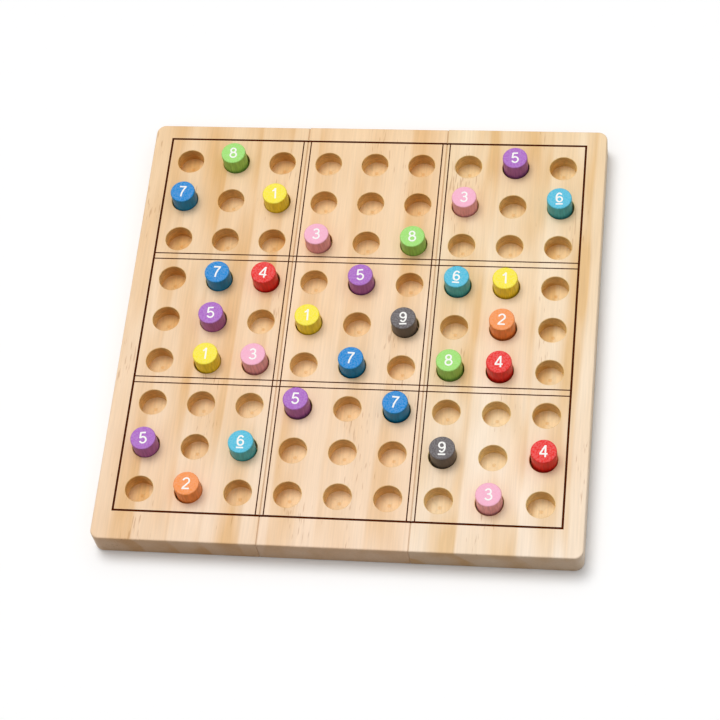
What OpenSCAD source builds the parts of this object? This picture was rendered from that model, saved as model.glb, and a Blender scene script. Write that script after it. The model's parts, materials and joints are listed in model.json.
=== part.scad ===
// Sudoku board: three pine planks, joined edge to edge, with nine rows of nine blind sockets,
// and the loose lacquered pegs that stand in some of them.
// +Z is up, +X is to the right and +Y is to the back. The origin is on the underside, at the middle
// of the board. Lengths are in millimetres.

/* [Socket grid] */
// Distance between neighbouring columns of sockets
col_pitch = 30.8; // [29:0.1:36]
// Distance between neighbouring rows of sockets
row_pitch = 30.15; // [29:0.05:36]
// Depth of a socket, down to its flat floor
socket_depth = 10.2; // [7:0.1:14]
// Width of the small chamfer round a socket's mouth
mouth_ease = 0.3; // [0.1:0.05:0.8]
// Diameter of the drill's centre mark in a socket's floor
mark_d = 3; // [1:0.1:6]
// Depth of the drill's centre mark
mark_depth = 0.8; // [0.3:0.1:1.5]

/* [Planks] */
// Thickness of the planks
board_t = 18; // [17:0.5:26]
// From the middle of the left column to the board's left side
left_rim = 26.5; // [23:0.1:40]
// From the middle of the right column to the board's right side
right_rim = 27.3; // [23:0.1:40]
// From the middle of the front row to the board's front edge
front_rim = 34.5; // [30:0.1:50]
// From the middle of the back row to the left plank's back edge
back_rim = 28.6; // [22:0.1:40]
// Radius of the board's four upright corners
corner_r = 6; // [3:0.5:12]
// Radius of the rounded top and bottom edges
edge_r = 1.2; // [0.4:0.1:2.5]
// Chamfer on the edges of each plank along a seam
seam_ease = 0.5; // [0.2:0.1:1.2]
// How much further back each plank ends than the one on its left
back_step = 0.35; // [0.1:0.05:1.5]

/* [Burnt lines] */
// From the board's left side to the middle of the frame line
line_left_margin = 12; // [8:0.1:16]
// From the board's right side to the middle of the frame line
line_right_margin = 13.4; // [8:0.1:16]
// From the board's front edge to the middle of the frame line
line_front_margin = 19.6; // [12:0.1:23]
// From the left plank's back edge to the middle of the frame line
line_back_margin = 10.9; // [6:0.1:16]
// Width of the frame line
frame_line_w = 1.4; // [0.6:0.1:2]
// Width of the thinner lines between the blocks
block_line_w = 0.8; // [0.4:0.1:1.4]
// Depth of the lines
line_depth = 0.3; // [0.1:0.05:0.8]
// Distance between the two lines beside a seam
seam_pair_gap = 4.9; // [3:0.1:8]
// Distance between the two lines of a crosswise pair
cross_pair_gap = 4.2; // [3:0.1:5]

/* [Pegs] */
// Diameter of a peg
peg_d = 16; // [10:0.1:18]
// Room all round between a peg and its socket's wall
peg_room = 0.7; // [0.3:0.05:1.5]
// Length of a peg
peg_len = 21; // [15:0.5:40]
// Radius of a peg's rounded ends
peg_edge_r = 0.8; // [0.2:0.1:2]

/* [Dowels] */
// Diameter of a dowel pin
dowel_d = 6; // [4:0.5:8]
// Length of a dowel pin
dowel_len = 30; // [20:1:40]
// Chamfer on a dowel pin's ends
dowel_chamfer = 0.8; // [0.3:0.1:1.5]
// Radius of the flutes along a dowel pin
flute_r = 0.35; // [0.2:0.05:0.6]
// Number of flutes round a dowel pin
flutes = 12; // [6:1:16]
// Room for glue round a dowel pin
glue_gap = 0.1; // [0.05:0.05:0.3]
// Room for glue past each end of a dowel pin
dowel_end_room = 0.8; // [0.2:0.1:2]

/* [Hidden] */
$fn = 64;
// The puzzle as it stands, from the back row to the front: a numeral for a peg, a dot for an empty socket
puzzle_rows = [
    ".8.....5.",
    "7.1...3.6",
    "...3.8...",
    ".74.5.61.",
    ".5.1.9.2.",
    ".13.7.84.",
    "...5.7...",
    "5.6...9.4",
    ".2.....3."
];
// Columns of sockets in a plank
plank_cols = 3;
// How far a cut runs past the face that it starts from
cut_over = 1;
// How much of the room in its socket a peg may use, so that it stays off the wall
play_share = 0.9;
// Places of the dowel pins along a seam, in row pitches from the middle row: between two rows each
dowel_row_shares = [-3.5, -1.5, 1.5, 3.5];
// Places of the crosswise line pairs, as shares of the frame's depth from its front
cross_pair_shares = [1 / 3, 2 / 3];

// Where each peg stands in its socket, row by row: to the right and to the back, as shares of its play
peg_play_shares = [
    [-0.9, 0.4], [0, 0.9],
    [0.5, -0.8], [-0.3, -0.8], [0.1, -0.2], [-0.8, 0.5],
    [-0.6, -0.8], [0.1, -0.9],
    [0.3, -0.9], [-0.8, -0.1], [0.4, -0.1], [-0.2, 0.8], [-0.4, 0.5],
    [0, -1], [0.3, -0.4], [-0.6, -0.8], [-0.4, 0.9],
    [0.6, -0.2], [-0.1, 0.8], [0.2, 0], [-0.4, 0.9], [0, 0.9],
    [-0.7, 0.6], [-0.1, 0.3],
    [0.2, -0.9], [-0.4, -0.9], [0.9, 0], [0.7, 0.7],
    [0.9, -0.4], [0.1, 0.5]
];
// Lacquer for each numeral from 1 to 9
peg_colours = [
    "#F6E23A", "#F28238", "#F29BC4", "#DD2A33", "#9B55BE",
    "#3FA9CF", "#2A72B8", "#86D65B", "#4B4C52"
];

grid_count = len(puzzle_rows);
plank_count = grid_count / plank_cols;
board_w = (grid_count - 1) * col_pitch + left_rim + right_rim;
shortest_d = (grid_count - 1) * row_pitch + front_rim + back_rim;
board_d = shortest_d + (plank_count - 1) * back_step;
socket_d = peg_d + 2 * peg_room;
socket_floor = board_t - socket_depth;
peg_play = play_share * peg_room;
frame_left = line_left_margin - board_w / 2;
frame_right = board_w / 2 - line_right_margin;
frame_front = line_front_margin - board_d / 2;
frame_back = shortest_d - board_d / 2 - line_back_margin;

function col_x(c) = left_rim - board_w / 2 + (c - 1) * col_pitch;
function row_y(r) = front_rim - board_d / 2 + (grid_count - r) * row_pitch;
// Middle of the seam on the right of plank k, counted from 0
function seam_x(k) = (col_x((k + 1) * plank_cols) + col_x((k + 1) * plank_cols + 1)) / 2;
// Middle of the pair of lines beside seam k
function pair_x(k) = (frame_left + frame_right) / 2 + (k + 1 - plank_count / 2) * plank_cols * col_pitch;
function plank_d(k) = shortest_d + k * back_step;
function numeral(r, c) = ord(puzzle_rows[r - 1][c - 1]) - ord("0");
function peg_name(p) = str("peg_row", p[0], "_col", p[1]);
function dowel_name(k, n) = str(k == 0 ? "left" : "right", "_seam_dowel_", n + 1);

seams = [0 : plank_count - 2];
dowels = [0 : len(dowel_row_shares) - 1];
// Row, column and numeral of each peg
pegs = [for (r = [1 : grid_count], c = [1 : grid_count]) if (numeral(r, c) > 0) [r, c, numeral(r, c)]];

// Outline of a rectangle from 0 to reach and from 0 to height, with its two far corners rounded
module rim_outline(reach, height, r) {
    square([reach - r, height]);
    translate([0, r]) square([reach, height - 2 * r]);
    for (y = [r, height - r]) translate([reach - r, y]) circle(r = r);
}

// The blank that a plank is cut from: a slab with rounded upright corners and rounded edges
module blank(depth) {
    inner_x = board_w / 2 - corner_r;
    inner_y = depth / 2 - corner_r;
    for (turn = [0, 180]) rotate([0, 0, turn]) {
        // Half of the middle strip, which reaches the blank's back edge
        translate([-inner_x, 0, 0]) rotate([90, 0, 90])
            linear_extrude(2 * inner_x) rim_outline(depth / 2, board_t, edge_r);
        // The strip along the blank's side
        translate([inner_x, inner_y, 0]) rotate([90, 0, 0])
            linear_extrude(2 * inner_y) rim_outline(corner_r, board_t, edge_r);
        // Two of the corners
        for (corner = [0, 1]) mirror([0, corner, 0]) translate([inner_x, inner_y, 0])
            rotate_extrude(angle = 90) rim_outline(corner_r, board_t, edge_r);
    }
}

// Outline from x0 to x1 and y0 to y1 that chamfers the corners of what it is intersected with
module eased_outline(x0, x1, y0, y1) {
    slope = seam_ease + cut_over;
    polygon([
        [x0 + slope, y0 - cut_over], [x1 - slope, y0 - cut_over], [x1, y0 + seam_ease], [x1, y1 - seam_ease],
        [x1 - slope, y1 + cut_over], [x0 + slope, y1 + cut_over], [x0, y1 - seam_ease], [x0, y0 + seam_ease]
    ]);
}

// A blind socket, stood at its place in the board
module socket() {
    r = socket_d / 2;
    rotate_extrude() polygon([
        [0, socket_floor - mark_depth], [mark_d / 2, socket_floor], [r, socket_floor],
        [r, board_t - mouth_ease], [r + mouth_ease + cut_over, board_t + cut_over], [0, board_t + cut_over]
    ]);
}

// A straight burnt groove of width w, between two corners of its centre line
module groove(x0, x1, y0, y1, w) {
    translate([x0 - w / 2, y0 - w / 2, board_t - line_depth])
        cube([x1 - x0 + w, y1 - y0 + w, line_depth + cut_over]);
}

module burnt_lines() {
    for (x = [frame_left, frame_right]) groove(x, x, frame_front, frame_back, frame_line_w);
    for (y = [frame_front, frame_back]) groove(frame_left, frame_right, y, y, frame_line_w);
    for (k = seams, side = [-1, 1]) {
        x = pair_x(k) + side * seam_pair_gap / 2;
        groove(x, x, frame_front, frame_back, block_line_w);
    }
    for (share = cross_pair_shares, side = [-1, 1]) {
        y = frame_front + share * (frame_back - frame_front) + side * cross_pair_gap / 2;
        groove(frame_left, frame_right, y, y, block_line_w);
    }
}

// Moves its children to dowel pin n of seam k, with the pin's length along X
module at_dowel(k, n) {
    translate([seam_x(k), row_y((grid_count + 1) / 2) + dowel_row_shares[n] * row_pitch, board_t / 2])
        rotate([0, 90, 0]) children();
}

module plank(k) {
    outer_x = board_w / 2 + seam_ease + cut_over;
    x0 = k == 0 ? -outer_x : seam_x(k - 1);
    x1 = k == plank_count - 1 ? outer_x : seam_x(k);
    front = -board_d / 2;
    bore_len = dowel_len + 2 * dowel_end_room;
    difference() {
        intersection() {
            translate([0, front + plank_d(k) / 2, 0]) blank(plank_d(k));
            translate([0, board_d, 0]) rotate([90, 0, 0])
                linear_extrude(2 * board_d) eased_outline(x0, x1, 0, board_t);
            translate([0, 0, -cut_over]) linear_extrude(board_t + 2 * cut_over)
                eased_outline(x0, x1, front, front + plank_d(k));
        }
        for (c = [k * plank_cols + 1 : (k + 1) * plank_cols], r = [1 : grid_count])
            translate([col_x(c), row_y(r), 0]) socket();
        burnt_lines();
        for (s = seams, n = dowels)
            at_dowel(s, n) cylinder(d = dowel_d + 2 * glue_gap, h = bore_len, center = true);
    }
}

module left_plank() { color("#E9C794") plank(0); }

module middle_plank() { color("#EDCB9B") plank(1); }

module right_plank() { color("#EFD0A2") plank(2); }

module dowel(k, n) {
    r = dowel_d / 2;
    end = dowel_len / 2;
    color("#D9B27C") at_dowel(k, n) difference() {
        rotate_extrude() polygon([
            [0, -end], [r - dowel_chamfer, -end], [r, dowel_chamfer - end],
            [r, end - dowel_chamfer], [r - dowel_chamfer, end], [0, end]
        ]);
        for (i = [0 : flutes - 1]) rotate([0, 0, i * 360 / flutes]) translate([r, 0, 0])
            cylinder(r = flute_r, h = dowel_len + 2 * cut_over, center = true);
    }
}

// A peg that stands on its socket's floor
module peg(i) {
    p = pegs[i];
    shift = peg_play * peg_play_shares[i];
    color(peg_colours[p[2] - 1])
        translate([col_x(p[1]) + shift[0], row_y(p[0]) + shift[1], socket_floor])
            rotate_extrude() rim_outline(peg_d / 2, peg_len, peg_edge_r);
}

left_plank();
middle_plank();
right_plank();
for (k = seams, n = dowels)
    dowel(k, n);
for (i = [0 : len(pegs) - 1])
    peg(i);
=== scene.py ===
"""Sudoku board: pine planks with burnt lines and blind sockets, lacquered number pegs, and a plain studio.

Lengths are in metres. The frame is the board's own: +Z is up, +X is to the right and +Y is to the back.
"""

import json
import math

import bmesh
import bpy
from mathutils import Euler, Matrix, Vector


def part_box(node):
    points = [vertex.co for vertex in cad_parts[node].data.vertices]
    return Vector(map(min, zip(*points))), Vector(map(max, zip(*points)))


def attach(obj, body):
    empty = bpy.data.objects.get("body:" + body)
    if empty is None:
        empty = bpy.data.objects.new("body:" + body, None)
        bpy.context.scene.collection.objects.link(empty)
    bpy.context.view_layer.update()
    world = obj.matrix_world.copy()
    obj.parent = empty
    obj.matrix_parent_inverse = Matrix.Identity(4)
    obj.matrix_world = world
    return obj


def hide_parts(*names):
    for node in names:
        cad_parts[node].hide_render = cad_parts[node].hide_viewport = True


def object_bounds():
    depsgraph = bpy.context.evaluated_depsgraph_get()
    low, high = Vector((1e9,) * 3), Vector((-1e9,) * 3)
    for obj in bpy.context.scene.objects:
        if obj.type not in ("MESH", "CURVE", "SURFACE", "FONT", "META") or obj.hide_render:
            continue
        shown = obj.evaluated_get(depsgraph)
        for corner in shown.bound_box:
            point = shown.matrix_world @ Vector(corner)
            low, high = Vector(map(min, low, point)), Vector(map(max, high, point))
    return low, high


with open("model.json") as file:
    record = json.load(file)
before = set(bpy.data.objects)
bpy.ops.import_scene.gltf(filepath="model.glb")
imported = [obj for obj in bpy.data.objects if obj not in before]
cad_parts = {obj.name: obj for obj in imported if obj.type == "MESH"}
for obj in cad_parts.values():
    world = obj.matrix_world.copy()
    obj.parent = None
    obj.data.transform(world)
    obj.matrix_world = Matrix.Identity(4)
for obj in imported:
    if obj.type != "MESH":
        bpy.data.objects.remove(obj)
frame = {"nodes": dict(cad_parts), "record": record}
CAD_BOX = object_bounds()

bl_info = {
    "name": "Sudoku Board",
    "version": (1, 0, 0),
    "blender": (4, 5, 0),
    "location": "3D View > Sidebar > Sudoku Board",
    "description": "Makes a wooden sudoku board with burnt lines and loose number pegs",
    "category": "Object",
}

MM = 0.001
WHITE = (1, 1, 1, 1)

# What the frame says of the board
RECORD = frame["record"]
BOARD_BODY = "board"
PLANKS = ("left_plank", "middle_plank", "right_plank")
SLOT_OF_NODE = {part["node"]: part["material_slot"] for part in RECORD["subparts"]}
PEGS = sorted(node for node in frame["nodes"] if node.startswith("peg_row"))
DOWELS = sorted(node for node in frame["nodes"] if "_seam_dowel_" in node)
BOARD_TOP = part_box(PLANKS[0])[1].z
SOCKETS = [mount for mount in RECORD["mounts"] if mount["kind"] == "bore"]
SOCKET_RADIUS = SOCKETS[0]["dims"]["r_mm"] * MM
SOCKET_WALL = SOCKETS[0]["dims"]["length_mm"] * MM
SOCKET_FLOOR = SOCKETS[0]["pos_m"][2] - SOCKET_WALL / 2
# Width and height of the chamfer round a socket's mouth
SOCKET_MOUTH = BOARD_TOP - SOCKET_FLOOR - SOCKET_WALL
# Every row and column has an empty socket, so the empty ones give all the places of the grid
COLUMNS = sorted({mount["pos_m"][0] for mount in SOCKETS})
ROWS = sorted({mount["pos_m"][1] for mount in SOCKETS})
COLUMN_PITCH = COLUMNS[1] - COLUMNS[0]
PLANK_COLUMNS = len(COLUMNS) // len(PLANKS)

# Places closer than this are the same. Cuts and merged points have finer limits of their own
NEAR = 0.01 * MM
CUT_NEAR = 0.001 * MM
MERGE_NEAR = 0.0001 * MM
# A face is level when its normal points up or down by more than this
LEVEL_NORMAL = 0.5
# An edge looks sharp when its faces turn by more than this
SHARP_DEGREES = 35
# How many faces go round an edge
CORNER_FACES = 10
EDGE_FACES = 5
CHAMFER_FACES = 1
PEG_EDGE_FACES = 6

# Material indices of a plank's faces
PLANED, BURNT, BORED, DRILLED, MARKED, TORN = range(6)

# Size of the cells of each pattern, in millimetres along each axis
FIBRE_CELL = (1.2, 30, 1.2)
BORE_CELL = (3, 3, 0.9)
WANDER_CELL = (45, 260, 45)
BLOTCH_CELL = (20, 110, 20)
PATCH_CELL = (26, 60, 26)
FLECK_CELL = (0.8, 8, 0.8)
CHAR_CELL = (3, 3, 3)
PORE_CELL = (1.1, 1.1, 10)
INK_CELL = (0.6, 0.6, 0.6)
RAY_CELL = (4, 0.7, 0.7)

# Grain of each plank: the middle of its growth rings across and up, how wide they are, where its
# pattern starts, how much amber it has, and its tint as shares of red, green and blue
GRAIN = {
    "left_plank": {
        "heart": (-230 * MM, -50 * MM),
        "ring": 20.7 * MM,
        "start": 0.3,
        "amber_share": 1.0,
        "tint_shares": (1, 1, 1.02),
    },
    "middle_plank": {
        "heart": (95 * MM, -50 * MM),
        "ring": 25.7 * MM,
        "start": 1.7,
        "amber_share": 0.72,
        "tint_shares": (1.02, 1.02, 1.05),
    },
    "right_plank": {
        "heart": (5 * MM, -60 * MM),
        "ring": 26.65 * MM,
        "start": 3.1,
        "amber_share": 1.1,
        "tint_shares": (1.03, 1.115, 1.22),
    },
}
# How far the growth rings wander, and how much the wave pattern enlarges its place
WANDER = 7 * MM
WAVE_FACTOR = 20
# Where the amber of a growth ring starts and where it is strongest, as shares of the ring's width
AMBER_START_SHARE = 0.1
AMBER_PEAK_SHARE = 0.88
# How far the rings and the blotches go from pale to amber
RING_SHARE = 0.8
BLOTCH_SHARE = 0.5
# Most of a soft pattern lies between these values
SOFT_LOW = 0.3
SOFT_HIGH = 0.7
# Flecks start where the sum of their two patterns passes the first value, and are full at the second
FLECK_START = 1.41
FLECK_FULL = 1.52
# Finish of a plank's faces: tint as shares, cells of the fibres, how much the fibres show, and how dark
# the flecks are. A bored wall has marks round it instead of fibres, the floor is marked where the
# drill's point stood, and the edges along the seams are torn
FINISH = {
    "planed": {
        "tint_shares": (1, 1, 1),
        "fibre": FIBRE_CELL,
        "fibre_share": 0.05,
        "fleck_share": 0.37,
    },
    # A bored wall's tint is brighter in red and warmer than the top: the bored wood's tone with painted
    # bounce light from inside the socket
    "bored": {
        "tint_shares": (1.05, 1.02, 0.68),
        "fibre": BORE_CELL,
        "fibre_share": 0.2,
        "fleck_share": 0,
    },
    "drilled": {
        "tint_shares": (0.98, 0.96, 0.82),
        "fibre": FIBRE_CELL,
        "fibre_share": 0.08,
        "fleck_share": 0,
    },
    "marked": {
        "tint_shares": (0.94, 0.84, 0.62),
        "fibre": FIBRE_CELL,
        "fibre_share": 0.08,
        "fleck_share": 0,
    },
    "torn": {
        "tint_shares": (0.8, 0.76, 0.71),
        "fibre": FIBRE_CELL,
        "fibre_share": 0.05,
        "fleck_share": 0,
    },
}
FIBRE_DEPTH = 0.06 * MM
# Wood looks darker on its end grain, the faces that look to the front or back, partly as painted shade, and
# warmer towards the back
END_GRAIN_SHADE_SHARES = (0.66, 0.565, 0.47)
BACK_SHARES = (0.965, 0.905, 0.757)
# Lowest and highest share of its colour that a burnt line has
CHAR_SHARES = (0.6, 1.5)

# Numeral on each lacquer, and the numerals that a line tells apart
NUMERAL_OF_SLOT = {
    "yellow_lacquer": 1,
    "orange_lacquer": 2,
    "pink_lacquer": 3,
    "red_lacquer": 4,
    "purple_lacquer": 5,
    "turquoise_lacquer": 6,
    "blue_lacquer": 7,
    "green_lacquer": 8,
    "grey_lacquer": 9,
}
UNDERLINED = (6, 9)
# Painted shade and warm bounce light from the pine on a peg's side, as shares of its lacquer's colour, how
# much that film varies, how much white shows in the pores of the end grain, partly as painted glints, how
# deep they are, and between which values of their pattern they spread
SIDE_SHADE_SHARES = (0.88, 0.79, 0.62)
FILM_SHARES = (0.88, 1.12)
PORE_GLINT_SHARE = 0.105
PORE_DEPTH = 0.04 * MM
PORE_LOW = 0.37
PORE_HIGH = 0.63
# Lowest and highest share of its colour that the ink has
INK_SHARES = (0.95, 1.0)

# How far some pegs are turned from upright, in degrees to the left
PEG_TURN_DEGREES = {
    "peg_row1_col2": 5,
    "peg_row1_col8": 3,
    "peg_row2_col3": 5,
    "peg_row2_col7": -1,
    "peg_row2_col9": 2,
    "peg_row3_col4": 1,
    "peg_row3_col6": 6,
    "peg_row4_col3": -5,
    "peg_row4_col5": 6,
    "peg_row4_col7": -3,
    "peg_row4_col8": 2,
    "peg_row5_col2": 5,
    "peg_row5_col4": 2,
    "peg_row5_col6": 3,
    "peg_row5_col8": -1,
    "peg_row6_col3": 3,
    "peg_row6_col5": -2,
    "peg_row6_col7": 4,
    "peg_row6_col8": 2,
    "peg_row7_col6": -4,
    "peg_row8_col1": 7,
    "peg_row8_col7": 2,
    "peg_row8_col9": 1,
    "peg_row9_col2": 1,
    "peg_row9_col8": 4,
}
# Degrees between two points of a numeral's round strokes
ARC_STEP_DEGREES = 9
# A stroke is closed when its ends are closer than this share of the numeral's height
CLOSED_SHARE = 0.001


def linear(hex_colour):
    """Linear colour with full alpha from an sRGB hex value such as #F6E23A."""
    channels = [int(hex_colour[i:i + 2], 16) / 255 for i in (1, 3, 5)]
    return tuple(c / 12.92 if c <= 0.04045 else ((c + 0.055) / 1.055) ** 2.4 for c in channels) + (1.0,)


def length_setting(label, description, default):
    return bpy.props.FloatProperty(
        name=label, description=description, default=default, min=0.0, precision=5, unit="LENGTH"
    )


def colour_setting(label, hex_colour):
    return bpy.props.FloatVectorProperty(
        name=label,
        description=f"Colour of the {label.lower()}",
        default=linear(hex_colour),
        size=4,
        min=0.0,
        max=1.0,
        subtype="COLOR",
    )


def share_setting(label, description, default):
    """A part of the light, where 1 in all shows a colour about as it is written."""
    return bpy.props.FloatProperty(name=label, description=description, default=default, min=0.0)


def angle_setting(label, description, degrees):
    return bpy.props.FloatProperty(
        name=label, description=description, default=math.radians(degrees), subtype="ANGLE"
    )


class PlankSettings(bpy.types.PropertyGroup):
    """Sizes and colours of the planks and of the dowels that join them."""

    corner_radius: length_setting("Corner radius", "Radius of the board's upright corners", 6 * MM)
    edge_radius: length_setting("Edge radius", "Radius of the rounded top and bottom edges", 1.2 * MM)
    seam_chamfer: length_setting("Seam chamfer", "Chamfer on a plank's edges along a seam", 0.5 * MM)
    left_margin: length_setting("Left margin", "From the board's left side to the frame line", 12 * MM)
    right_margin: length_setting("Right margin", "From the board's right side to the frame line", 13.4 * MM)
    front_margin: length_setting("Front margin", "From the board's front to the frame line", 19.6 * MM)
    back_margin: length_setting("Back margin", "From the left plank's back to the frame line", 10.9 * MM)
    frame_line: length_setting("Frame line", "Width of the burnt frame line", 1.4 * MM)
    block_line: length_setting("Block line", "Width of the thinner lines between the blocks", 0.8 * MM)
    line_depth: length_setting("Line depth", "Depth of the burnt lines", 0.3 * MM)
    line_slope: length_setting("Line slope", "Width of the slope at each side of a burnt line", 0.15 * MM)
    seam_pair: length_setting("Seam pair", "Distance between the two lines beside a seam", 4.9 * MM)
    cross_pair: length_setting("Cross pair", "Distance between the two lines of a crosswise pair", 4.2 * MM)
    cell_rim: length_setting("Cell rim", "Width of the flat ring of faces round a socket", 1.5 * MM)
    mark_radius: length_setting("Mark radius", "Radius of the drill's centre mark", 1.3 * MM)
    mark_depth: length_setting("Mark depth", "Depth of the drill's centre mark", 0.8 * MM)
    socket_sides: bpy.props.IntProperty(
        name="Socket sides", description="Sides of a socket's round wall", default=64, min=16, max=128, step=4
    )
    earlywood: colour_setting("Earlywood", "#F6DDC2")
    latewood: colour_setting("Latewood", "#E4BA88")
    fleck: colour_setting("Resin fleck", "#A8703F")
    scorch: colour_setting("Scorched line", "#4A1C06")
    beech: colour_setting("Beech", "#E2BF90")
    beech_ray: colour_setting("Beech ray", "#B98A58")


class PegSettings(bpy.types.PropertyGroup):
    """Sizes and colours of the pegs and their numerals."""

    edge_radius: length_setting("Edge radius", "Radius of a peg's rounded ends", 0.8 * MM)
    numeral_height: length_setting("Numeral height", "Height of a numeral", 8.0 * MM)
    underlined_height: length_setting("Underlined height", "Height of a numeral that is underlined", 7.3 * MM)
    stroke: length_setting("Stroke", "Width of a numeral's strokes", 1.05 * MM)
    ink: length_setting("Ink", "Thickness of the printed ink", 0.04 * MM)
    sides: bpy.props.IntProperty(name="Sides", description="Sides of a peg", default=72, min=16, max=128)
    yellow_lacquer: colour_setting("Yellow lacquer", "#FAE83E")
    orange_lacquer: colour_setting("Orange lacquer", "#F6954F")
    pink_lacquer: colour_setting("Pink lacquer", "#F6B2CB")
    red_lacquer: colour_setting("Red lacquer", "#EA2F2A")
    purple_lacquer: colour_setting("Purple lacquer", "#AD6AC4")
    turquoise_lacquer: colour_setting("Turquoise lacquer", "#51BEDC")
    blue_lacquer: colour_setting("Blue lacquer", "#1387D1")
    green_lacquer: colour_setting("Green lacquer", "#A1E073")
    grey_lacquer: colour_setting("Grey lacquer", "#655F60")
    white_ink: colour_setting("White ink", "#FBFAF6")


class StageSettings(bpy.types.PropertyGroup):
    """Camera and light."""

    camera_place: bpy.props.FloatVectorProperty(
        name="Camera place",
        description="Where the camera stands",
        default=(0.21637, -0.72121, 1.28493),
        subtype="TRANSLATION",
        unit="LENGTH",
    )
    camera_turn: bpy.props.FloatVectorProperty(
        name="Camera turn",
        description="How the camera is turned, with its slight tilt to one side",
        default=tuple(math.radians(angle) for angle in (29.309, 6.414, 5.657)),
        subtype="EULER",
    )
    lens: bpy.props.FloatProperty(
        name="Lens", description="Focal length on a 36 mm sensor", default=116.92, min=1.0, unit="CAMERA"
    )
    key_share: share_setting("Key share", "Light on a level surface from the key lamp", 0.47)
    top_share: share_setting("Top share", "Light on a level surface from the soft box above", 0.46)
    sky_share: share_setting("Sky share", "Light on a level surface from all round", 0.1)
    key_height: angle_setting("Key height", "Angle of the key lamp above the floor", 68)
    key_turn: angle_setting("Key turn", "Angle of the key lamp to the left from straight behind", 34)
    key_angle: angle_setting("Key angle", "How wide the key lamp looks from the board", 31)
    top_height: angle_setting("Top height", "Angle of the soft box above the floor", 90)
    top_angle: angle_setting("Top angle", "How wide the soft box above looks from the board", 110)
    floor_half: length_setting("Floor", "Half of the floor's width", 12.0)
    floor: colour_setting("Floor", "#FCFCFC")
    floor_bounce: colour_setting("Floor's bounce", "#CBCBCB")


# Meshes and materials


def piece_from(name, bm, materials, body, slot, *nodes):
    """Makes a finished piece from a bmesh: it rides on a body and stands for the named nodes."""
    mesh = bpy.data.meshes.new(name)
    bm.to_mesh(mesh)
    bm.free()
    for material in materials:
        mesh.materials.append(material)
    mesh.shade_smooth()
    mesh.set_sharp_from_angle(angle=math.radians(SHARP_DEGREES))
    piece = bpy.data.objects.new(name, mesh)
    bpy.context.scene.collection.objects.link(piece)
    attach(piece, body)
    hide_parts(*nodes)
    return piece


def add_node(tree, kind, inputs=None, **settings):
    """Adds a node with its own settings, and with values or links for its inputs."""
    made = tree.nodes.new(kind)
    for key, value in settings.items():
        setattr(made, key, value)
    for key, value in (inputs or {}).items():
        if isinstance(value, bpy.types.NodeSocket):
            tree.links.new(value, made.inputs[key])
        else:
            made.inputs[key].default_value = value
    return made


def new_material(name):
    """An empty material with its shader, and its tree."""
    material = bpy.data.materials.new(name)
    material.use_nodes = True
    tree = material.node_tree
    tree.nodes.clear()
    shader = add_node(tree, "ShaderNodeBsdfPrincipled")
    add_node(tree, "ShaderNodeOutputMaterial", {"Surface": shader.outputs["BSDF"]})
    return material, tree, shader


def tinted(colour, *shares):
    """A linear colour times one or more sets of shares of red, green and blue."""
    return tuple(math.prod(channel) for channel in zip(colour, *shares)) + (1.0,)


def soft_pattern(tree, place, cell, detail, normalize=True):
    """A soft uneven pattern whose cells have the given size in millimetres along each axis."""
    scale = tuple(1 / (size * MM) for size in cell)
    scaled = add_node(tree, "ShaderNodeMapping", {"Vector": place, "Scale": scale}).outputs[0]
    inputs = {"Vector": scaled, "Scale": 1.0, "Detail": detail}
    return add_node(tree, "ShaderNodeTexNoise", inputs, normalize=normalize).outputs


def growth_rings(tree, place, moved, grain):
    """How amber the wood is across its growth rings, which wander, fade from pale to amber and then stop."""
    wander = soft_pattern(tree, moved, WANDER_CELL, 1.0, normalize=False)["Color"]
    shift = (WANDER, 0, WANDER)
    bent = add_node(
        tree, "ShaderNodeVectorMath", {0: wander, 1: shift, 2: place}, operation="MULTIPLY_ADD"
    ).outputs[0]
    heart = (-grain["heart"][0], 0, -grain["heart"][1])
    centred = add_node(tree, "ShaderNodeMapping", {"Vector": bent, "Location": heart}).outputs[0]
    ring = add_node(
        tree,
        "ShaderNodeTexWave",
        {"Vector": centred, "Scale": 2 * math.pi / (WAVE_FACTOR * grain["ring"])},
        wave_type="RINGS",
        rings_direction="Y",
        wave_profile="SAW",
    ).outputs["Fac"]
    rise = add_node(
        tree,
        "ShaderNodeMapRange",
        {"Value": ring, "From Min": AMBER_START_SHARE, "From Max": AMBER_PEAK_SHARE},
        interpolation_type="SMOOTHERSTEP",
    ).outputs[0]
    fall = add_node(
        tree,
        "ShaderNodeMapRange",
        {"Value": ring, "From Min": AMBER_PEAK_SHARE, "From Max": 1.0, "To Min": 1.0, "To Max": 0.0},
        interpolation_type="SMOOTHERSTEP",
    ).outputs[0]
    return add_node(tree, "ShaderNodeMath", {0: rise, 1: fall}, operation="MULTIPLY").outputs[0]


def ringed_colour(tree, place, moved, grain, surface, look):
    """Colour of the wood: some rings are strong and some are faint, and soft blotches lie over them."""
    amber = growth_rings(tree, place, moved, grain)
    blotch = soft_pattern(tree, moved, BLOTCH_CELL, 2.0)["Fac"]
    soft = add_node(
        tree, "ShaderNodeMapRange", {"Value": blotch, "From Min": SOFT_LOW, "From Max": SOFT_HIGH}
    ).outputs[0]
    strong = add_node(tree, "ShaderNodeMath", {0: amber, 1: soft}, operation="MULTIPLY").outputs[0]
    blotches = add_node(
        tree, "ShaderNodeMath", {0: soft, 1: BLOTCH_SHARE * grain["amber_share"]}, operation="MULTIPLY"
    ).outputs[0]
    amount = add_node(
        tree,
        "ShaderNodeMath",
        {0: strong, 1: RING_SHARE * grain["amber_share"], 2: blotches},
        operation="MULTIPLY_ADD",
    ).outputs[0]
    return add_node(
        tree,
        "ShaderNodeMix",
        {
            "Factor": amount,
            "A": tinted(look.earlywood, grain["tint_shares"], surface["tint_shares"]),
            "B": tinted(look.latewood, grain["tint_shares"], surface["tint_shares"]),
        },
        data_type="RGBA",
    ).outputs["Result"]


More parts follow.
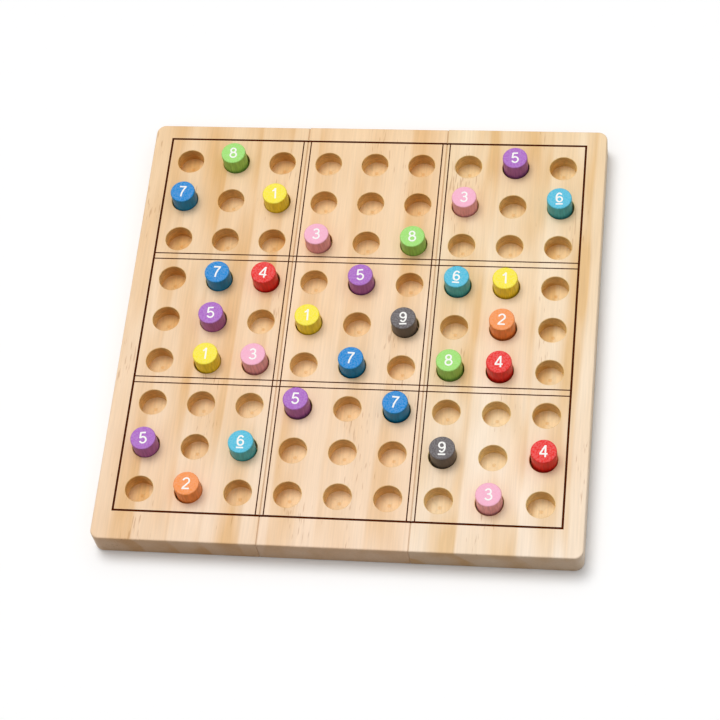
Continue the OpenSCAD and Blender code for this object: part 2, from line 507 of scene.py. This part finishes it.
def flecked_colour(tree, moved, colour, fleck_share, look):
    """The wood's colour with short brown resin flecks, which come in patches."""
    patch = soft_pattern(tree, moved, PATCH_CELL, 0.0)["Fac"]
    short = soft_pattern(tree, moved, FLECK_CELL, 0.0)["Fac"]
    both = add_node(tree, "ShaderNodeMath", {0: patch, 1: short}, operation="ADD").outputs[0]
    fleck = add_node(
        tree,
        "ShaderNodeMapRange",
        {"Value": both, "From Min": FLECK_START, "From Max": FLECK_FULL, "To Max": fleck_share},
    ).outputs[0]
    return add_node(
        tree, "ShaderNodeMix", {"Factor": fleck, "A": colour, "B": look.fleck}, data_type="RGBA"
    ).outputs["Result"]


def pine(plank, finish, look):
    """Planed and sanded pine with a thin satin varnish: broad soft growth rings that fade from pale to
    amber and then stop, fine fibres along the grain, and a few patches of short brown resin flecks."""
    grain = GRAIN[plank]
    surface = FINISH[finish]
    material, tree, shader = new_material(f"{finish}_pine_{plank}")
    coords = add_node(tree, "ShaderNodeTexCoord").outputs
    place = coords["Object"]
    start = (grain["start"], grain["start"], 0)
    moved = add_node(tree, "ShaderNodeVectorMath", {0: place, 1: start}, operation="ADD").outputs[0]
    wood = ringed_colour(tree, place, moved, grain, surface, look)

    # Fibres are drawn about a millimetre wide, coarser than real ones, so that they show
    fibres = soft_pattern(tree, moved, surface["fibre"], 3.0)["Fac"]
    streak = add_node(
        tree,
        "ShaderNodeMapRange",
        {
            "Value": fibres,
            "From Min": SOFT_LOW,
            "From Max": SOFT_HIGH,
            "To Min": 1 - surface["fibre_share"],
            "To Max": 1 + surface["fibre_share"],
        },
    ).outputs[0]
    wood = add_node(tree, "ShaderNodeVectorMath", {0: wood, "Scale": streak}, operation="SCALE").outputs[0]
    wood = flecked_colour(tree, moved, wood, surface["fleck_share"], look)

    # The tone warms towards the back, and end grain drinks more varnish and also carries painted shade
    along = add_node(tree, "ShaderNodeSeparateXYZ", {0: place}).outputs["Y"]
    back = add_node(
        tree, "ShaderNodeMapRange", {"Value": along, "From Min": CAD_BOX[0].y, "From Max": CAD_BOX[1].y}
    ).outputs[0]
    facing = add_node(tree, "ShaderNodeSeparateXYZ", {0: coords["Normal"]}).outputs["Y"]
    ends = add_node(tree, "ShaderNodeMath", {0: facing, 1: facing}, operation="MULTIPLY").outputs[0]
    for factor, tint in ((back, BACK_SHARES), (ends, END_GRAIN_SHADE_SHARES)):
        wood = add_node(
            tree,
            "ShaderNodeMix",
            {"Factor": factor, "A": wood, "B": (*tint, 1.0)},
            data_type="RGBA",
            blend_type="MULTIPLY",
        ).outputs["Result"]

    bump = add_node(tree, "ShaderNodeBump", {"Height": fibres, "Strength": 0.25, "Distance": FIBRE_DEPTH})
    rough = add_node(tree, "ShaderNodeMapRange", {"Value": fibres, "To Min": 0.46, "To Max": 0.62})
    shader.inputs["Specular IOR Level"].default_value = 0.3
    tree.links.new(wood, shader.inputs["Base Color"])
    tree.links.new(rough.outputs[0], shader.inputs["Roughness"])
    tree.links.new(bump.outputs[0], shader.inputs["Normal"])
    return material


def uneven_colour(tree, colour, cell, detail, shares):
    """A colour that varies softly between two shares of itself, in cells of the given size."""
    place = add_node(tree, "ShaderNodeTexCoord").outputs["Object"]
    pattern = soft_pattern(tree, place, cell, detail)["Fac"]
    inputs = {"Value": pattern, "To Min": shares[0], "To Max": shares[1]}
    share = add_node(tree, "ShaderNodeMapRange", inputs).outputs[0]
    return add_node(
        tree, "ShaderNodeVectorMath", {0: colour[:3], "Scale": share}, operation="SCALE"
    ).outputs[0]


def scorched_pine(look):
    """Pine burnt by a hot tool: dark brown, dull, and a little uneven along the line."""
    material, tree, shader = new_material("scorched_pine")
    char = uneven_colour(tree, look.scorch, CHAR_CELL, 3.0, CHAR_SHARES)
    tree.links.new(char, shader.inputs["Base Color"])
    shader.inputs["Roughness"].default_value = 0.9
    shader.inputs["Specular IOR Level"].default_value = 0.05
    return material


def gloss_lacquer(slot, colour):
    """Coloured lacquer on turned wood: glossy, with painted shade and warm bounce light from the pine on the
    side, and paler in the pores of the end grain, which also stand for painted glints and are drawn about a
    millimetre wide, coarser than real ones, to show."""
    material, tree, shader = new_material(slot)
    coords = add_node(tree, "ShaderNodeTexCoord").outputs
    grain = soft_pattern(tree, coords["Object"], PORE_CELL, 2.0)["Fac"]
    spread = {"Value": grain, "From Min": PORE_LOW, "From Max": PORE_HIGH}
    # White in the pores of the top is partly the pores and partly painted glints of sheen
    pores = add_node(tree, "ShaderNodeMapRange", {**spread, "To Max": PORE_GLINT_SHARE}).outputs[0]
    ends = add_node(
        tree, "ShaderNodeMix", {"Factor": pores, "A": colour, "B": WHITE}, data_type="RGBA"
    ).outputs["Result"]
    thickness = {**spread, "To Min": FILM_SHARES[0], "To Max": FILM_SHARES[1]}
    film = add_node(tree, "ShaderNodeMapRange", thickness).outputs[0]
    # The side's colour is the lacquer darkened and warmed as painted shade and bounce light from the pine
    side = add_node(
        tree, "ShaderNodeVectorMath", {0: tinted(colour, SIDE_SHADE_SHARES)[:3], "Scale": film}, operation="SCALE"
    ).outputs[0]
    # Level faces take the top's colour and upright faces the side's painted shade
    facing = add_node(tree, "ShaderNodeSeparateXYZ", {0: coords["Normal"]}).outputs["Z"]
    level = add_node(tree, "ShaderNodeMath", {0: facing, 1: facing}, operation="MULTIPLY").outputs[0]
    paint = add_node(tree, "ShaderNodeMix", {"Factor": level, "A": side, "B": ends}, data_type="RGBA")
    rough = add_node(tree, "ShaderNodeMapRange", {**spread, "To Min": 0.32, "To Max": 0.4})
    bump = add_node(tree, "ShaderNodeBump", {"Height": grain, "Strength": 0.15, "Distance": PORE_DEPTH})
    tree.links.new(paint.outputs["Result"], shader.inputs["Base Color"])
    tree.links.new(rough.outputs[0], shader.inputs["Roughness"])
    tree.links.new(bump.outputs[0], shader.inputs["Normal"])
    shader.inputs["Specular IOR Level"].default_value = 0.15
    return material


def printed_ink(colour):
    """White screen-printed ink: opaque, satin, with a faint mottle."""
    material, tree, shader = new_material("white_ink")
    mottle = uneven_colour(tree, colour, INK_CELL, 2.0, INK_SHARES)
    tree.links.new(mottle, shader.inputs["Base Color"])
    shader.inputs["Roughness"].default_value = 0.45
    return material


def bare_beech(look):
    """Turned beech without a finish: pinkish tan with short dark rays along the pin."""
    material, tree, shader = new_material("bare_beech")
    place = add_node(tree, "ShaderNodeTexCoord").outputs["Object"]
    rays = soft_pattern(tree, place, RAY_CELL, 2.0)["Fac"]
    colour = add_node(
        tree, "ShaderNodeMix", {"Factor": rays, "A": look.beech, "B": look.beech_ray}, data_type="RGBA"
    )
    tree.links.new(colour.outputs["Result"], shader.inputs["Base Color"])
    shader.inputs["Roughness"].default_value = 0.7
    return material


# Planks


def line_boxes(look):
    """The burnt lines as (lowest x, highest x, lowest y, highest y), across the whole board."""
    left = CAD_BOX[0].x + look.left_margin
    right = CAD_BOX[1].x - look.right_margin
    front = CAD_BOX[0].y + look.front_margin
    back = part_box(PLANKS[0])[1].y - look.back_margin
    half = look.frame_line / 2
    thin = look.block_line / 2
    boxes = [(x - half, x + half, front - half, back + half) for x in (left, right)]
    boxes += [(left - half, right + half, y - half, y + half) for y in (front, back)]
    for side in (-1, 1):
        middle = (left + right) / 2 + side * PLANK_COLUMNS * COLUMN_PITCH / 2
        for x in (middle - look.seam_pair / 2, middle + look.seam_pair / 2):
            boxes.append((x - thin, x + thin, front, back))
    for share in (1 / 3, 2 / 3):
        middle = front + share * (back - front)
        for y in (middle - look.cross_pair / 2, middle + look.cross_pair / 2):
            boxes.append((left, right, y - thin, y + thin))
    return boxes


def rounded_block(low, high, seams, look):
    """A plank's block: upright corners and outer edges rounded, edges along its seams chamfered and torn."""
    bm = bmesh.new()
    bmesh.ops.create_cube(bm, size=1.0)
    bmesh.ops.scale(bm, vec=high - low, verts=bm.verts)
    bmesh.ops.translate(bm, vec=(low + high) / 2, verts=bm.verts)

    def on_seam(edge):
        return any(all(abs(v.co.x - x) < NEAR for v in edge.verts) for x in seams)

    def is_level(edge):
        return any(all(abs(v.co.z - z) < NEAR for v in edge.verts) for z in (low.z, high.z))

    uprights = [edge for edge in bm.edges if not is_level(edge) and not on_seam(edge)]
    round_edges(bm, uprights, look.corner_radius, CORNER_FACES)
    outer = [edge for edge in bm.edges if is_level(edge) and not on_seam(edge)]
    round_edges(bm, outer, look.edge_radius, EDGE_FACES)
    round_edges(bm, [edge for edge in bm.edges if on_seam(edge)], look.seam_chamfer, CHAMFER_FACES)
    for face in bm.faces:
        if any(abs(face.calc_center_median().x - x) < look.seam_chamfer for x in seams):
            face.material_index = TORN
    return bm


def round_edges(bm, edges, radius, segments):
    bmesh.ops.bevel(
        bm,
        geom=edges,
        offset=radius,
        offset_type="OFFSET",
        segments=segments,
        profile=0.5,
        affect="EDGES",
        material=-1,
        clamp_overlap=False,
    )


def upper_faces(bm):
    return [face for face in bm.faces if face.normal.z > LEVEL_NORMAL]


def cut_top(bm, across, places):
    """Cuts a plank's upper faces along lines across the given direction."""
    for place in places:
        faces = upper_faces(bm)
        edges = {edge for face in faces for edge in face.edges}
        verts = {vert for face in faces for vert in face.verts}
        bmesh.ops.bisect_plane(
            bm, geom=[*faces, *edges, *verts], dist=CUT_NEAR, plane_co=across * place, plane_no=across
        )


def cut_grid(bm, low, high, columns, lines, look):
    """Cuts a plank's top along the sides of its burnt lines and of its sockets' square cells."""
    half = SOCKET_RADIUS + SOCKET_MOUTH + look.cell_rim
    x_cuts = {x + side * half for x in columns for side in (-1, 1)}
    y_cuts = {y + side * half for y in ROWS for side in (-1, 1)}
    x_cuts |= {x for line in lines for x in line[:2] if low.x < x < high.x}
    y_cuts |= {y for line in lines for y in line[2:]}
    cut_top(bm, Vector((1, 0, 0)), sorted(x_cuts))
    cut_top(bm, Vector((0, 1, 0)), sorted(y_cuts))


def burn_lines(bm, lines, look):
    """Presses the burnt lines into a plank's top."""
    scorched = []
    for face in upper_faces(bm):
        middle = face.calc_center_median()
        if any(x0 < middle.x < x1 and y0 < middle.y < y1 for x0, x1, y0, y1 in lines):
            face.material_index = BURNT
            if abs(middle.z - BOARD_TOP) < NEAR:
                scorched.append(face)
    slopes = bmesh.ops.inset_region(
        bm, faces=scorched, thickness=look.line_slope, depth=-look.line_depth, use_even_offset=True
    )
    for face in slopes["faces"]:
        face.material_index = BURNT


def socket_cells(bm, columns, look):
    """The square faces of a plank's top that its sockets are bored in, by their middles."""
    cells = {}
    for face in upper_faces(bm):
        centre = face.calc_center_median().xy
        for x in columns:
            for y in ROWS:
                if (centre - Vector((x, y))).length < look.cell_rim:
                    cells[(x, y)] = face
    if len(cells) != len(columns) * len(ROWS):
        raise RuntimeError("A socket has no cell of its own, because a cut runs through its place")
    return cells


def bore_socket(bm, cell, middle, look):
    """Makes a blind socket in a square cell of a plank's top."""
    bmesh.ops.bisect_edges(bm, edges=list(cell.edges), cuts=look.socket_sides // 4 - 1)
    bmesh.ops.inset_individual(bm, faces=[cell], thickness=look.cell_rim / 2, use_even_offset=True)
    for vert in cell.verts:
        out = (vert.co.xy - middle).normalized() * (SOCKET_RADIUS + SOCKET_MOUTH)
        vert.co.xy = middle + out
    ease = bmesh.ops.inset_individual(
        bm, faces=[cell], thickness=SOCKET_MOUTH, depth=-SOCKET_MOUTH, use_even_offset=True
    )
    wall = bmesh.ops.extrude_discrete_faces(bm, faces=[cell])
    floor = wall["faces"][0]
    bmesh.ops.translate(bm, vec=(0, 0, -SOCKET_WALL), verts=floor.verts)
    walls = [face for edge in floor.edges for face in edge.link_faces]
    for face in [*walls, *ease["faces"]]:
        face.material_index = BORED
    floor.material_index = DRILLED
    floor_rim = SOCKET_RADIUS - look.mark_radius
    bmesh.ops.inset_individual(bm, faces=[floor], thickness=floor_rim, use_even_offset=True)
    floor.material_index = MARKED
    bmesh.ops.poke(bm, faces=[floor], offset=-look.mark_depth)


class SUDOKU_OT_planks(bpy.types.Operator):
    """Make the three pine planks with their burnt lines and sockets"""

    bl_idname = "sudoku.planks"
    bl_label = "Make Planks"

    def execute(self, context):
        look = context.scene.sudoku_planks
        lines = line_boxes(look)
        scorched = scorched_pine(look)
        all_seams = [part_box(plank)[1].x for plank in PLANKS[:-1]]
        for plank in PLANKS:
            low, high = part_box(plank)
            seams = [x for x in all_seams if low.x - NEAR < x < high.x + NEAR]
            columns = [x for x in COLUMNS if low.x < x < high.x]
            bm = rounded_block(low, high, seams, look)
            cut_grid(bm, low, high, columns, lines, look)
            burn_lines(bm, lines, look)
            for middle, cell in socket_cells(bm, columns, look).items():
                bore_socket(bm, cell, Vector(middle), look)
            materials = [
                pine(plank, "planed", look),
                scorched,
                pine(plank, "bored", look),
                pine(plank, "drilled", look),
                pine(plank, "marked", look),
                pine(plank, "torn", look),
            ]
            piece = piece_from(f"pine_{plank}", bm, materials, BOARD_BODY, SLOT_OF_NODE[plank], plank)
            piece.modifiers.new("flat_faces", "WEIGHTED_NORMAL").keep_sharp = True
        return {"FINISHED"}


class SUDOKU_OT_dowels(bpy.types.Operator):
    """Give the dowel pins inside the seams their wood"""

    bl_idname = "sudoku.dowels"
    bl_label = "Finish Dowels"

    def execute(self, context):
        beech = bare_beech(context.scene.sudoku_planks)
        for dowel in DOWELS:
            for slot in frame["nodes"][dowel].material_slots:
                slot.material = beech
        return {"FINISHED"}


# Pegs and numerals


class SUDOKU_OT_pegs(bpy.types.Operator):
    """Make the lacquered pegs"""

    bl_idname = "sudoku.pegs"
    bl_label = "Make Pegs"

    def execute(self, context):
        look = context.scene.sudoku_pegs
        lacquers = {slot: gloss_lacquer(slot, getattr(look, slot)) for slot in NUMERAL_OF_SLOT}
        for peg in PEGS:
            low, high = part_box(peg)
            radius = (high.x - low.x) / 2
            bm = bmesh.new()
            bmesh.ops.create_cone(
                bm,
                cap_ends=True,
                cap_tris=False,
                segments=look.sides,
                radius1=radius,
                radius2=radius,
                depth=high.z - low.z,
                matrix=Matrix.Translation((low + high) / 2),
            )
            caps = [face for face in bm.faces if abs(face.normal.z) > LEVEL_NORMAL]
            rims = [edge for face in caps for edge in face.edges]
            round_edges(bm, rims, look.edge_radius, PEG_EDGE_FACES)
            caps = [face for face in bm.faces if len(face.verts) == look.sides]
            bmesh.ops.inset_individual(bm, faces=caps, thickness=look.edge_radius / 2, use_even_offset=True)
            slot = SLOT_OF_NODE[peg]
            piece_from(f"lacquered_{peg}", bm, [lacquers[slot]], peg, slot, peg)
        return {"FINISHED"}


def arc(centre, radii, start, end):
    """Points of an elliptical arc between two angles in degrees, spaced by about the same step."""
    count = round(abs(end - start) / ARC_STEP_DEGREES)
    angles = [math.radians(start + (end - start) * i / count) for i in range(count + 1)]
    return [(centre[0] + radii[0] * math.cos(a), centre[1] + radii[1] * math.sin(a)) for a in angles]


def turned_over(strokes):
    """The same strokes turned half round in the numeral's height."""
    return [[(-x, 1 - y) for x, y in stroke] for stroke in strokes]


# Middle lines of the strokes of each numeral, as shares of the numeral's height
SIX_SHARES = [
    arc((0.005, 0.5), (0.255, 0.441), 40, 270),
    arc((0.01, 0.315), (0.245, 0.256), 0, 360),
]
NUMERAL_SHARES = {
    1: [[(0.06, 0), (0.06, 1)], arc((-0.19, 0.985), (0.215, 0.235), -90, -8)],
    2: [
        arc((0, 0.7), (0.235, 0.241), 172, -38) + [(-0.17, 0.19), (-0.235, 0.06)],
        [(-0.295, 0.059), (0.275, 0.059)],
    ],
    3: [
        arc((-0.005, 0.735), (0.205, 0.206), 162, -90) + [(-0.085, 0.529)],
        arc((0, 0.295), (0.245, 0.236), 95, -163),
    ],
    4: [
        [(0.135, 0), (0.135, 1)],
        [(0.105, 0.95), (-0.265, 0.3)],
        [(-0.315, 0.272), (0.3, 0.272)],
    ],
    5: [
        [(-0.19, 0.941), (0.24, 0.941)],
        [(-0.148, 0.96), (-0.213, 0.47)],
        arc((0, 0.321), (0.245, 0.262), 142, -160),
    ],
    6: SIX_SHARES,
    7: [
        [(-0.275, 0.941), (0.285, 0.941)],
        [(0.235, 0.93), (0.065, 0.64), (-0.045, 0.34), (-0.09, 0)],
    ],
    8: [arc((0, 0.742), (0.2, 0.199), 0, 360), arc((0, 0.296), (0.25, 0.237), 0, 360)],
    9: turned_over(SIX_SHARES),
}
UNDERLINE_SHARES = [(-0.31, -0.165), (0.31, -0.165)]


def numeral_mesh(numeral, look):
    """A numeral of round ink strokes, centred on the origin."""
    height = look.numeral_height
    strokes = list(NUMERAL_SHARES[numeral])
    middle_share = 0.5
    if numeral in UNDERLINED:
        height = look.underlined_height
        strokes.append(UNDERLINE_SHARES)
        middle_share = (1 + UNDERLINE_SHARES[0][1]) / 2
    curve = bpy.data.curves.new("numeral_strokes", "CURVE")
    curve.dimensions = "3D"
    curve.bevel_depth = look.stroke / 2
    curve.bevel_resolution = 2
    curve.use_fill_caps = True
    for stroke in strokes:
        closed = math.dist(stroke[0], stroke[-1]) < CLOSED_SHARE
        points = stroke[:-1] if closed else stroke
        spline = curve.splines.new("POLY")
        spline.points.add(len(points) - 1)
        spline.use_cyclic_u = closed
        for point, (x, y) in zip(spline.points, points):
            point.co = (x * height, (y - middle_share) * height, 0, 1)
    strokes_object = bpy.data.objects.new("numeral_strokes", curve)
    bpy.context.scene.collection.objects.link(strokes_object)
    evaluated = strokes_object.evaluated_get(bpy.context.evaluated_depsgraph_get())
    mesh = bpy.data.meshes.new_from_object(evaluated)
    bpy.data.objects.remove(strokes_object)
    bpy.data.curves.remove(curve)
    return mesh


class SUDOKU_OT_numerals(bpy.types.Operator):
    """Print the numerals on the pegs"""

    bl_idname = "sudoku.numerals"
    bl_label = "Print Numerals"

    def execute(self, context):
        look = context.scene.sudoku_pegs
        ink = printed_ink(look.white_ink)
        meshes = {numeral: numeral_mesh(numeral, look) for numeral in NUMERAL_SHARES}
        # The strokes are pressed flat, so that they stand up from the peg by the ink's thickness
        flat = (1, 1, look.ink / (look.stroke / 2))
        for peg in PEGS:
            low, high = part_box(peg)
            numeral = NUMERAL_OF_SLOT[SLOT_OF_NODE[peg]]
            turn = Matrix.Rotation(math.radians(PEG_TURN_DEGREES.get(peg, 0)), 3, "Z")
            top = ((low.x + high.x) / 2, (low.y + high.y) / 2, high.z)
            bm = bmesh.new()
            bm.from_mesh(meshes[numeral])
            bmesh.ops.scale(bm, vec=flat, verts=bm.verts)
            bmesh.ops.rotate(bm, cent=(0, 0, 0), matrix=turn, verts=bm.verts)
            bmesh.ops.translate(bm, vec=top, verts=bm.verts)
            bmesh.ops.remove_doubles(bm, verts=bm.verts, dist=MERGE_NEAR)
            bmesh.ops.recalc_face_normals(bm, faces=bm.faces)
            piece_from(f"numeral_on_{peg}", bm, [ink], peg, "white_ink")
        for mesh in meshes.values():
            bpy.data.meshes.remove(mesh)
        return {"FINISHED"}


# Stage


def seen_directly(tree):
    """1 for what the camera, gloss and glass see, and 0 for bounced light."""
    path = add_node(tree, "ShaderNodeLightPath").outputs
    seen = path["Is Camera Ray"]
    for ray in ("Is Glossy Ray", "Is Transmission Ray"):
        seen = add_node(tree, "ShaderNodeMath", {0: seen, 1: path[ray]}, operation="MAXIMUM").outputs[0]
    return seen


def studio_world(look):
    """Even light from all round. The camera, gloss and glass see plain white instead."""
    world = bpy.data.worlds.new("studio")
    world.use_nodes = True
    tree = world.node_tree
    tree.nodes.clear()
    sky = add_node(tree, "ShaderNodeBackground", {"Color": WHITE, "Strength": look.sky_share})
    white = add_node(tree, "ShaderNodeBackground", {"Color": WHITE, "Strength": 1.0})
    mix = add_node(
        tree, "ShaderNodeMixShader", {0: seen_directly(tree), 1: sky.outputs[0], 2: white.outputs[0]}
    )
    add_node(tree, "ShaderNodeOutputWorld", {"Surface": mix.outputs[0]})
    return world


def paper_sweep(look):
    """Matt white paper. It looks white, and bounces less light than it shows."""
    material, tree, shader = new_material("paper_sweep")
    paper = add_node(
        tree,
        "ShaderNodeMix",
        {"Factor": seen_directly(tree), "A": look.floor_bounce, "B": look.floor},
        data_type="RGBA",
    )
    tree.links.new(paper.outputs["Result"], shader.inputs["Base Color"])
    shader.inputs["Roughness"].default_value = 1.0
    shader.inputs["Specular IOR Level"].default_value = 0.0
    return material


def soft_lamp(name, share, width, height, turn):
    """A far lamp, at an angle above the floor and to the left from straight behind the board."""
    level = math.cos(height)
    towards = Vector((-level * math.sin(turn), level * math.cos(turn), math.sin(height)))
    light = bpy.data.lights.new(name, "SUN")
    light.energy = share * math.pi / towards.z
    light.angle = width
    lamp = bpy.data.objects.new(name, light)
    lamp.rotation_euler = (-towards).to_track_quat("-Z", "Y").to_euler()
    # A level surface would mirror the lamps to the camera, so gloss shows only the white room
    lamp.visible_glossy = False
    bpy.context.scene.collection.objects.link(lamp)


class SUDOKU_OT_stage(bpy.types.Operator):
    """Set the floor, the light and the camera"""

    bl_idname = "sudoku.stage"
    bl_label = "Set Stage"

    def execute(self, context):
        look = context.scene.sudoku_stage
        scene = context.scene
        scene.view_settings.view_transform = "Standard"
        scene.world = studio_world(look)

        bm = bmesh.new()
        bmesh.ops.create_grid(bm, x_segments=1, y_segments=1, size=look.floor_half)
        mesh = bpy.data.meshes.new("floor")
        bm.to_mesh(mesh)
        bm.free()
        mesh.materials.append(paper_sweep(look))
        floor = bpy.data.objects.new("floor", mesh)
        scene.collection.objects.link(floor)

        soft_lamp("key", look.key_share, look.key_angle, look.key_height, look.key_turn)
        soft_lamp("soft_box", look.top_share, look.top_angle, look.top_height, look.key_turn)

        camera = bpy.data.objects.new("camera", bpy.data.cameras.new("camera"))
        camera.data.lens = look.lens
        camera.location = look.camera_place
        camera.rotation_euler = Euler(look.camera_turn)
        scene.collection.objects.link(camera)
        scene.camera = camera
        return {"FINISHED"}


class SUDOKU_PT_board(bpy.types.Panel):
    """Buttons for the board's pieces, in the order that they are made"""

    bl_idname = "SUDOKU_PT_board"
    bl_label = "Sudoku Board"
    bl_space_type = "VIEW_3D"
    bl_region_type = "UI"
    bl_category = "Sudoku Board"

    def draw(self, context):
        for operator in OPERATORS:
            self.layout.operator(operator.bl_idname)


SETTINGS = {"sudoku_planks": PlankSettings, "sudoku_pegs": PegSettings, "sudoku_stage": StageSettings}
OPERATORS = (
    SUDOKU_OT_stage,
    SUDOKU_OT_planks,
    SUDOKU_OT_dowels,
    SUDOKU_OT_pegs,
    SUDOKU_OT_numerals,
)


def register():
    for group in SETTINGS.values():
        bpy.utils.register_class(group)
    for name, group in SETTINGS.items():
        setattr(bpy.types.Scene, name, bpy.props.PointerProperty(type=group))
    for operator in OPERATORS:
        bpy.utils.register_class(operator)
    bpy.utils.register_class(SUDOKU_PT_board)


def unregister():
    bpy.utils.unregister_class(SUDOKU_PT_board)
    for operator in reversed(OPERATORS):
        bpy.utils.unregister_class(operator)
    for name, group in SETTINGS.items():
        delattr(bpy.types.Scene, name)
        bpy.utils.unregister_class(group)


def main():
    register()
    bpy.ops.sudoku.stage()
    bpy.ops.sudoku.planks()
    bpy.ops.sudoku.dowels()
    bpy.ops.sudoku.pegs()
    bpy.ops.sudoku.numerals()


if __name__ == "__main__":
    main()
